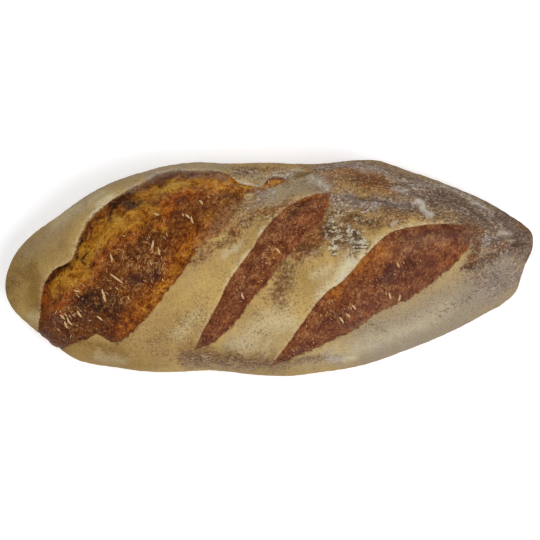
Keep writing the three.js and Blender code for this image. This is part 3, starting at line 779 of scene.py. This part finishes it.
def flake_mesh(name, flakes):
    """Thin pointed slivers that lie on the crumb, as one mesh."""
    sides = 6
    rows = ((-0.5, 0.0), (-0.3, 0.36), (0.0, 0.5), (0.3, 0.36), (0.5, 0.0))
    cut_of = [flake[0] for flake in flakes]
    along, share, turn, length, width, height = np.array([flake[1:] for flake in flakes], float).T
    over = np.array([lerp(cut.torn_edge(a), cut.ear_edge(a), s) for cut, a, s in zip(cut_of, along, share)])

    def moved(move_along, move_over):
        """Places on the crumb, at a distance along and over from each flake's middle."""
        spots = [cut.place_of(a, o) for cut, a, o in zip(cut_of, along + move_along, over + move_over)]
        return surface(*np.array(spots).T)[0]

    at = moved(0, 0)
    ahead, aside = moved(PROBE, 0) - at, moved(0, PROBE) - at
    up = np.cross(ahead, aside)
    up /= np.linalg.norm(up, axis=1, keepdims=True)
    ahead /= np.linalg.norm(ahead, axis=1, keepdims=True)
    left = np.cross(up, ahead)
    axis = ahead * np.cos(turn)[:, None] + left * np.sin(turn)[:, None]
    left = np.cross(up, axis)
    centres = [moved(step * length * np.cos(turn), step * length * np.sin(turn)) for step, _ in rows]
    vertices, faces, shades = [], [], []
    for i in range(len(flakes)):
        first = len(vertices)
        bend = 0.12 * length[i] * math.sin(7 * turn[i])
        for (step, radius), middles in zip(rows, centres):
            centre = middles[i] + left[i] * bend * (1 - 4 * step**2) + up[i] * (0.05 + 0.1 * height[i])
            for k in range(sides if radius else 1):
                t = 2 * math.pi * k / sides
                wide = left[i] * radius * width[i] * math.cos(t)
                vertices.append(centre + wide + up[i] * radius * height[i] * math.sin(t))
        ends = first, first + 1 + 3 * sides
        for k in range(sides):
            n = (k + 1) % sides
            faces.append((ends[0], first + 1 + n, first + 1 + k))
            for row in range(2):
                low = first + 1 + row * sides
                faces.append((low + k, low + n, low + sides + n, low + sides + k))
            top = first + 1 + 2 * sides
            faces.append((ends[1], top + k, top + n))
        small = width[i] < FLAKE_WIDTH
        shade = abs(math.sin(SHADE_SPREAD * turn[i])) if small else LARGE_FLAKE_SHADE
        shades += [shade] * (2 + 3 * sides)
    mesh = bpy.data.meshes.new(name)
    mesh.from_pydata((np.array(vertices) * MM).tolist(), [], faces)
    add_layer(mesh, "shade", shades)
    mesh.shade_smooth()
    return add_to_scene(name, mesh)


def build_flakes():
    draw = np.random.default_rng(FLAKE_SEED)
    flakes = large_flakes()
    for batch in SMALL_FLAKES:
        flakes += small_flakes(draw, *batch)
    return flake_mesh("bran_flakes", flakes)


# Materials


def srgb(red, green, blue):
    """A colour given as 0 to 255 of the usual screen scale, in linear light."""
    levels = [value / 255 for value in (red, green, blue)]
    return tuple(v / 12.92 if v <= 0.04045 else ((v + 0.055) / 1.055) ** 2.4 for v in levels) + (1.0,)


STRAW = srgb(177, 147, 88)
STRAW_DIM = srgb(158, 128, 78)
# Paler flour, partly standing for painted highlight
STRAW_PALE = srgb(196, 182, 144)
# Darker flour, partly standing for painted shade
OLIVE = srgb(130, 99, 44)
TAN = srgb(126, 98, 62)
GREY_FLOUR = srgb(142, 130, 112)
WHITE_FLOUR = srgb(184, 178, 164)
CRACKLE_FLOUR = srgb(192, 182, 160)
PALE_FLOUR = srgb(199, 177, 130)
# Dark specks, and the painted shade in the creases
SPECK_AND_CREASE_SHADE = srgb(84, 60, 38)
GREY_SPECK = srgb(84, 66, 60)
PALE_SPECK = srgb(180, 163, 136)
SOOT = srgb(58, 42, 30)
# Painted shade in the crumb's hollows
CRUMB_HOLLOW_SHADE = srgb(58, 26, 12)
CHAR = srgb(46, 21, 11)
# Darker crumb, with a painted purple reflection of the sky
DARK_AND_SKY_REFLECTION = srgb(86, 44, 38)
TATTER = srgb(158, 116, 76)
BRAN_DUST = srgb(194, 150, 98)
# Painted shade in tiny pits
PIT_SHADE = srgb(44, 20, 10)
# Painted highlight along the ears' lips
RIM_HIGHLIGHT = srgb(200, 172, 138)
DUST = srgb(136, 102, 84)
BRAN_PALE = srgb(200, 166, 116)
BRAN_BROWN = srgb(146, 100, 62)
FLOOR_WHITE = srgb(246, 246, 248)

# Colours that follow a noise from its hollows to its crests: each its place and its red, green and blue
SKIN = (
    (0.2, 60, 34, 16), (0.34, 88, 56, 28), (0.46, 114, 80, 46), (0.57, 138, 106, 70), (0.7, 164, 140, 106),
    (0.85, 188, 174, 148),
)
GREY_SKIN = (
    (0.2, 58, 42, 38), (0.34, 82, 64, 58), (0.46, 106, 88, 80), (0.57, 132, 118, 112), (0.7, 160, 150, 144),
    (0.85, 186, 180, 174),
)
RUST_SKIN = (
    (0.24, 64, 28, 8), (0.4, 100, 54, 22), (0.55, 134, 82, 40), (0.75, 170, 122, 76),
)
CRUMB = (
    (0.26, 60, 24, 12), (0.4, 90, 42, 22), (0.5, 116, 62, 34), (0.6, 138, 80, 44), (0.76, 176, 120, 76),
)
GOLD = (
    (0.3, 108, 52, 4), (0.42, 148, 86, 10), (0.5, 174, 112, 18), (0.6, 188, 138, 42), (0.74, 202, 164, 84),
)
ORANGE = (
    (0.3, 86, 26, 2), (0.42, 126, 50, 2), (0.52, 160, 80, 8), (0.64, 188, 116, 30), (0.76, 204, 150, 76),
)
CRUMB_WIDE = (
    (0.26, 48, 16, 2), (0.4, 78, 33, 3), (0.5, 104, 51, 7), (0.6, 130, 74, 20), (0.76, 166, 112, 50),
)


class Graph:
    """Builds a material's nodes by plain calls. Each call gives the socket of its result."""

    def __init__(self, name):
        self.material = bpy.data.materials.new(name)
        self.material.use_nodes = True
        self.tree = self.material.node_tree
        self.places = self.add("TexCoord").outputs["Object"]

    def add(self, kind, inputs=None, **settings):
        node = self.tree.nodes.new("ShaderNode" + kind)
        for name, value in settings.items():
            setattr(node, name, value)
        for key, value in (inputs or {}).items():
            self.feed(node.inputs[key], value)
        return node

    def feed(self, socket, value):
        """Gives a socket a number, a colour, a node's result or, by its name, a mask of the mesh."""
        if isinstance(value, str):
            output = "Vector" if value == "flow" else "Fac"
            value = self.add("Attribute", attribute_name=value).outputs[output]
        if isinstance(value, bpy.types.NodeSocket):
            self.tree.links.new(value, socket)
        else:
            socket.default_value = value

    def dress(self, inputs):
        """Feeds the shader's inputs and gives the material."""
        for name, value in inputs.items():
            self.feed(self.tree.nodes["Principled BSDF"].inputs[name], value)
        return self.material

    def noise(self, size, detail=3.0, roughness=0.55, stretch=(1, 1, 1), turn=0.0, places=None):
        """Noise from about 0 to 1, with features of a size in millimetres."""
        unit = MM if places is None else 1
        scale = [size * unit * part for part in stretch]
        inputs = {"Rotation": (0, 0, turn), "Scale": scale, "Vector": places or self.places}
        spots = self.add("Mapping", inputs, vector_type="TEXTURE").outputs["Vector"]
        inputs = {"Scale": 1.0, "Detail": detail, "Roughness": roughness, "Vector": spots}
        return self.add("TexNoise", inputs).outputs["Fac"]

    def ramp(self, value, stops):
        """Colours that follow a value. Each stop is a place on the scale and a colour."""
        node = self.add("ValToRGB", {"Fac": value})
        elements = node.color_ramp.elements
        for element, (place, *colour) in zip(elements, (stops[0], stops[-1])):
            element.position = place
            element.color = srgb(*colour)
        for place, *colour in stops[1:-1]:
            elements.new(place).color = srgb(*colour)
        return node.outputs["Color"]

    def math(self, operation, a, b=0.0, clamp=False):
        return self.add("Math", {0: a, 1: b}, operation=operation, use_clamp=clamp).outputs[0]

    def plus(self, a, b):
        return self.math("ADD", a, b)

    def minus(self, a, b, clamp=False):
        return self.math("SUBTRACT", a, b, clamp)

    def times(self, a, b, clamp=False):
        return self.math("MULTIPLY", a, b, clamp)

    def blend(self, *parts):
        """The sum of values, each with its weight."""
        return functools.reduce(self.plus, [self.times(value, weight) for value, weight in parts])

    def step(self, value, low, high, to_low=0.0, to_high=1.0):
        """A soft step from to_low to to_high as value goes from low to high."""
        inputs = {"Value": value, "From Min": low, "From Max": high, "To Min": to_low, "To Max": to_high}
        return self.add("MapRange", inputs, interpolation_type="SMOOTHSTEP").outputs["Result"]

    def curls(self, noise, width):
        """Thin curly lines, where a noise crosses its middle."""
        return self.step(self.math("ABSOLUTE", self.minus(noise, 0.5)), width, 0.2 * width)

    def around(self, noise, spread, middle=0.5, level=0.0):
        """Noise made to vary over a spread, its middle moved to a level."""
        return self.plus(self.times(self.minus(noise, middle), spread), level)

    def dabs(self, name, noise, most):
        """A painted area laid on in soft dabs that follow a noise."""
        share = self.times(name, self.step(noise, 0.36, 0.6, 0.4, 1.25))
        return self.times(self.step(share, 0.02, 1.0), most)

    def mix(self, factor, a, b):
        return self.add("Mix", {0: factor, 6: a, 7: b}, data_type="RGBA").outputs[2]

    def coats(self, colour, *coats):
        """A colour with coats laid over it in turn, each given by how much it covers and its own colour."""
        for cover, paint in coats:
            colour = self.mix(cover, colour, paint)
        return colour

    def bump(self, height, distance, strength, **normal):
        inputs = {"Strength": strength, "Distance": distance * MM, "Height": height, **normal}
        return self.add("Bump", inputs).outputs["Normal"]


def flour_colour(graph, fine, grain):
    """Flour as it lies thick: straw, in places grey, olive with painted shade, pale with painted highlight,
    worn down in fine specks.
    """
    weave = graph.plus(graph.noise(0.8, 2, 0.5, (7, 1, 1)), graph.noise(0.8, 2, 0.5, (1, 7, 1)))
    return graph.coats(
        STRAW_DIM,
        (graph.step(graph.noise(24, 3), 0.35, 0.65), STRAW),
        # Olive: darker flour, partly painted shade
        ("dim", OLIVE),
        ("grey", GREY_FLOUR),
        # Pale: paler flour, partly painted highlight
        ("pale", STRAW_PALE),
        (graph.step(fine, 0.5, 0.75, 0, 0.5), TAN),
        (graph.step(weave, 0.96, 0.84, 0, 0.22), TAN),
        (graph.step(grain, 0.28, 0.42, 0.3, 0), PALE_FLOUR),
    )


def skin_colour(graph, fine, streak, flecks):
    """Baked skin with flour in its wrinkles: brown, in places grey or rusty, streaked along the loaf."""
    hue = graph.noise(6, 3, 0.6, (2, 1, 1), places="flow")
    tone = graph.blend((streak, 0.9), (fine, 1.0), (flecks, 0.8), (hue, 0.4))
    # The pale areas lift the tone, partly as painted highlight, and the dim areas lower it, partly as painted
    # shade
    tone = graph.around(graph.blend((tone, 1), ("pale", 0.16), ("dim", -0.15)), 1.0, 1.55, 0.5)
    greyed = graph.times("grey", graph.step(hue, 0.62, 0.42, 0.5, 1.1), True)
    rusty = graph.times(graph.step(hue, 0.54, 0.68, 0, 0.4), graph.minus(1.0, "grey", True))
    wrinkles = graph.curls(graph.noise(3.2, 2, 0.5, (7, 1, 1), places="flow"), 0.05)
    return graph.coats(
        graph.ramp(tone, SKIN),
        (greyed, graph.ramp(tone, GREY_SKIN)),
        (graph.math("MAXIMUM", graph.dabs("red", fine, 0.92), rusty), graph.ramp(tone, RUST_SKIN)),
        (graph.times(graph.times(wrinkles, "wrinkle"), 0.5), GREY_SPECK),
    )


def flecked(graph, colour, flecks, amount):
    """A colour with fine dark and pale flecks over it."""
    dark = graph.times(graph.step(flecks, 0.48, 0.34, 0, 0.6), amount)
    pale = graph.times(graph.step(flecks, 0.54, 0.7), graph.step("wrinkle", 0, 1, 0.1, 0.32))
    shade = graph.mix("grey", SPECK_AND_CREASE_SHADE, GREY_SPECK)
    return graph.coats(colour, (dark, shade), (graph.times(pale, amount), PALE_SPECK))


def crust_colour(graph):
    """Flour where it is thick, baked skin where it is thin, with white smears, crackle and dark specks."""
    patchy = graph.noise(7, 4, 0.6)
    fine = graph.noise(2.0, 4, 0.7)
    grain = graph.noise(0.9, 3, 0.65)
    streak = graph.noise(1.5, 4, 0.65, (5, 1, 1), places="flow")
    flecks = graph.noise(1.2, 2, 0.55, (1.3, 1, 1), places="flow")
    thin = graph.blend(("bake", 1), (graph.around(patchy, 0.8), 1), (graph.around(fine, 2.2), 1))
    thin = graph.plus(thin, graph.times(graph.around(streak, 2.2), "wrinkle"))
    flour, skin = flour_colour(graph, fine, grain), skin_colour(graph, fine, streak, flecks)
    colour = graph.mix(graph.step(thin, 0.15, 0.85, 0, 0.92), flour, skin)
    curds = graph.noise(2.1, 4, 0.7, (1.6, 1, 1))
    shown = graph.plus("crackle", graph.around(fine, 2.0))
    specks = graph.blend((grain, 1), ("speck", 0.11), (graph.around(patchy, 0.3), 1))
    white = graph.blend(("white", 1), (graph.around(fine, 1.6), 1), (graph.around(patchy, 0.8), 1))
    return graph.coats(
        flecked(graph, colour, flecks, graph.step(thin, -0.2, 0.7, 0.06, 1)),
        (graph.step(shown, 0.2, 1.0, 0, 0.82), graph.mix(graph.step(curds, 0.47, 0.54), SOOT, CRACKLE_FLOUR)),
        (graph.step(specks, 0.54, 0.74, 0, 0.7), SPECK_AND_CREASE_SHADE),
        (graph.step(white, 0.1, 1.4, 0, 0.8), WHITE_FLOUR),
        # Painted shade: the creases darkened
        (graph.step("crease", 0.2, 1.2, 0, 0.6), SPECK_AND_CREASE_SHADE),
        # Painted highlight along the ears' lips
        (graph.times("rim_highlight", graph.step(fine, 0.4, 0.6, 0.45, 0.0)), RIM_HIGHLIGHT),
    )


def crumb_colour(graph):
    """The torn crumb: rust brown, golden under the wide slash's ear, dark on its crown, charred at edges."""
    patchy = graph.noise(6, 4, 0.6)
    fine = graph.noise(2.0, 4, 0.7)
    grain = graph.noise(0.9, 3, 0.65)
    fibres = graph.noise(0.9, 3, 0.6, (5, 1, 1), FIBRE_TURN)
    mottle = graph.blend((patchy, 0.5), (fine, 0.5))
    dark_part = graph.minus(1.0, mottle)
    tone = graph.blend((patchy, 0.4), (fine, 0.5), (grain, 0.4), (fibres, 0.3))
    # The pale areas lift the tone, partly as painted highlight, and the dim areas lower it, partly as painted
    # shade
    tone = graph.blend((graph.around(tone, 1.0, 0.8, 0.5), 1), ("pale", 0.12), ("dim", -0.06))
    bran = graph.step("bran", 0, 1, 0.3, 1)
    curls = graph.curls(graph.noise(3.4, 2, 0.5), 0.03)
    curls = graph.times(curls, graph.step(patchy, 0.42, 0.58, 0, 0.7))
    strands = graph.times(graph.step(fibres, 0.55, 0.7), graph.step(mottle, 0.4, 0.55, 0.1, 0.6))
    return graph.coats(
        graph.ramp(tone, CRUMB),
        (graph.step("wide", 0.2, 0.8), graph.ramp(tone, CRUMB_WIDE)),
        # Darker crumb, with a painted purple reflection of the sky
        (graph.dabs("dark_and_sky_reflection", dark_part, 0.7), DARK_AND_SKY_REFLECTION),
        (graph.dabs("orange", mottle, 0.85), graph.ramp(tone, ORANGE)),
        (graph.dabs("gold", mottle, 0.9), graph.ramp(tone, GOLD)),
        (graph.dabs("char", dark_part, 0.95), CHAR),
        (graph.dabs("tatter", fine, 0.6), TATTER),
        (graph.dabs("grey", fine, 0.7), DUST),
        # Painted shade: darker where the crumb's relief dips
        (graph.step("crag", -0.1, -1.0, 0, 0.4), CRUMB_HOLLOW_SHADE),
        (graph.times(curls, bran), BRAN_DUST),
        (graph.times(strands, bran), BRAN_DUST),
        (graph.times(graph.step(grain, 0.56, 0.72, 0, 0.4), bran), BRAN_DUST),
        # Painted shade: tiny dark pits in the crumb
        (graph.step(grain, 0.43, 0.3, 0, 0.5), PIT_SHADE),
    )


def bread_material():
    graph = Graph("baked_crust")
    ragged = graph.around(graph.noise(1.6, 4, 0.65), 3.6)
    tattered = graph.times(graph.around(graph.noise(3.2, 4, 0.65), 22), "tatter")
    torn = graph.plus("deep", graph.plus(ragged, tattered))
    torn = graph.times(graph.step(torn, 0.0, 0.8), graph.step("deep", -4, -2))
    colour = graph.mix(torn, crust_colour(graph), crumb_colour(graph))
    gloss = graph.step(graph.noise(1.1, 3, 0.6), 0.35, 0.7, 0.42, 0.7)
    rough = graph.plus(graph.times(torn, graph.minus(gloss, 0.9)), 0.9)
    flour_bump = graph.times(graph.noise(1.4, 4, 0.65), graph.step(torn, 1, 0, 0.3, 1))
    crumb_bump = graph.times(graph.noise(2.4, 5, 0.7), torn)
    normal = graph.bump(crumb_bump, 2.6, 0.9, Normal=graph.bump(flour_bump, 0.8, 0.8))
    looks = {"Base Color": colour, "Roughness": rough, "Specular IOR Level": 0.1, "Normal": normal}
    return graph.dress(looks)


def bran_material():
    graph = Graph("bran")
    return graph.dress({"Base Color": graph.mix("shade", BRAN_PALE, BRAN_BROWN), "Roughness": 0.6})


# Floor, lights and camera

SCALE = 0.5646  # mm of the loaf for one pixel of the picture, which is 540 pixels wide
PICTURE = 540
SENSOR = 36
CAMERA_DISTANCE = 1600
CAMERA_HEIGHT_ANGLE = math.radians(87)
LOAF_TILT = math.radians(4.75)  # the right tip is up by this in the picture
AIM = (0.0, -1.7, 28.0)
FLOOR_GAP = 0.2  # keeps the floor clear of the loaf's flat base

# In metres and watts. A light has a name, a place, a size and a power.
FLOOR_SIZE = 6
VIEW_DEPTH = 10
SKY = (0.92, 0.96, 1.0, 1)
SKY_STRENGTH = 0.36
LIGHTS = (("key", (0.7, -0.6, 1.5), 1.1, 24), ("fill", (-0.6, 0.5, 1.6), 1.4, 15))
LIGHTS_AIM = (0, 0, 0.03)


def build_floor():
    bpy.ops.mesh.primitive_plane_add(size=FLOOR_SIZE, location=(0, 0, -FLOOR_GAP * MM))
    floor = bpy.context.object
    floor.name = "floor"
    looks = {"Base Color": FLOOR_WHITE, "Roughness": 0.9}
    looks.update({"Emission Color": (1, 1, 1, 1), "Emission Strength": 0.2})
    floor.data.materials.append(Graph("pale_floor").dress(looks))


def aim(thing, target):
    thing.rotation_euler = (Vector(target) - thing.location).to_track_quat("-Z", "Y").to_euler()


def build_lights():
    world = bpy.data.worlds.new("studio")
    bpy.context.scene.world = world
    world.use_nodes = True
    background = world.node_tree.nodes["Background"]
    background.inputs["Color"].default_value = SKY
    background.inputs["Strength"].default_value = SKY_STRENGTH
    for name, place, size, power in LIGHTS:
        light = bpy.data.lights.new(name, "AREA")
        light.size = size
        light.energy = power
        lamp = add_to_scene(name, light)
        lamp.location = place
        aim(lamp, LIGHTS_AIM)


def build_camera():
    data = bpy.data.cameras.new("camera")
    data.sensor_width = SENSOR
    data.lens = SENSOR * CAMERA_DISTANCE / (PICTURE * SCALE)
    data.clip_end = VIEW_DEPTH
    camera = add_to_scene("camera", data)
    heading = -math.pi / 2 - LOAF_TILT
    flat = math.cos(CAMERA_HEIGHT_ANGLE) * CAMERA_DISTANCE * MM
    target = Vector(AIM) * MM
    rise = math.sin(CAMERA_HEIGHT_ANGLE) * CAMERA_DISTANCE * MM
    camera.location = target + Vector((flat * math.cos(heading), flat * math.sin(heading), rise))
    aim(camera, target)
    bpy.context.scene.camera = camera


def main():
    build_camera()
    build_floor()
    build_lights()
    loaf = build_loaf()
    loaf.data.materials.append(bread_material())
    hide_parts("loaf")
    flakes = build_flakes()
    flakes.data.materials.append(bran_material())
    for piece in (loaf, flakes):
        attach(piece, "root")
    bpy.context.scene.view_settings.view_transform = "Standard"


main()
